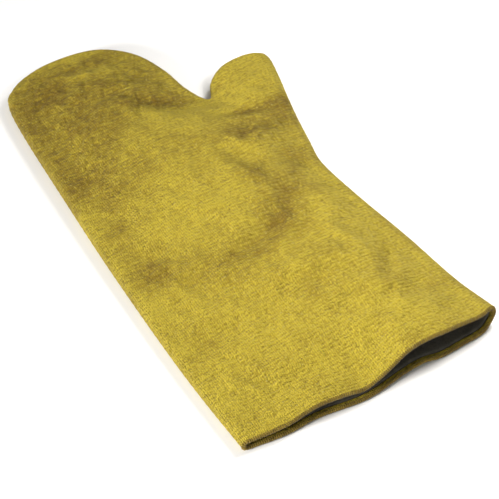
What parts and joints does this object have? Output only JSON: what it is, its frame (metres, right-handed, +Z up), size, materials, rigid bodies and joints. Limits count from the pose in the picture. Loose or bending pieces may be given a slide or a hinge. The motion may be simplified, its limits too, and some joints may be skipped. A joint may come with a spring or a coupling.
{
  "type": "heat-protective mitten",
  "caption": "Long heat-protective mitten of coarse woven yellow cloth with a dark lining, lying flat on its palm, its wide cuff open.",
  "frame": {"origin": "middle of the footprint, on the floor under the palm", "axes": "+Y from the cuff to the fingertips, +X to the thumb's side, +Z up from the palm to the back of the hand"},
  "size_m": [0.2024, 0.3792, 0.0271],
  "materials": {
    "outer_cloth": "coarse plain-weave yellow cloth, matt and slightly fuzzy",
    "hem_cloth": "the same yellow cloth turned over at the cuff, its yarns showing as short ribs",
    "lining_cloth": "soft matt charcoal lining"
  },
  "bodies": {
    "root": {"back_panel": "outer_cloth", "palm_panel": "outer_cloth", "back_thumb": "outer_cloth", "palm_thumb": "outer_cloth", "cuff_hem": "hem_cloth", "lining": "lining_cloth"}
  },
  "joints": []
}
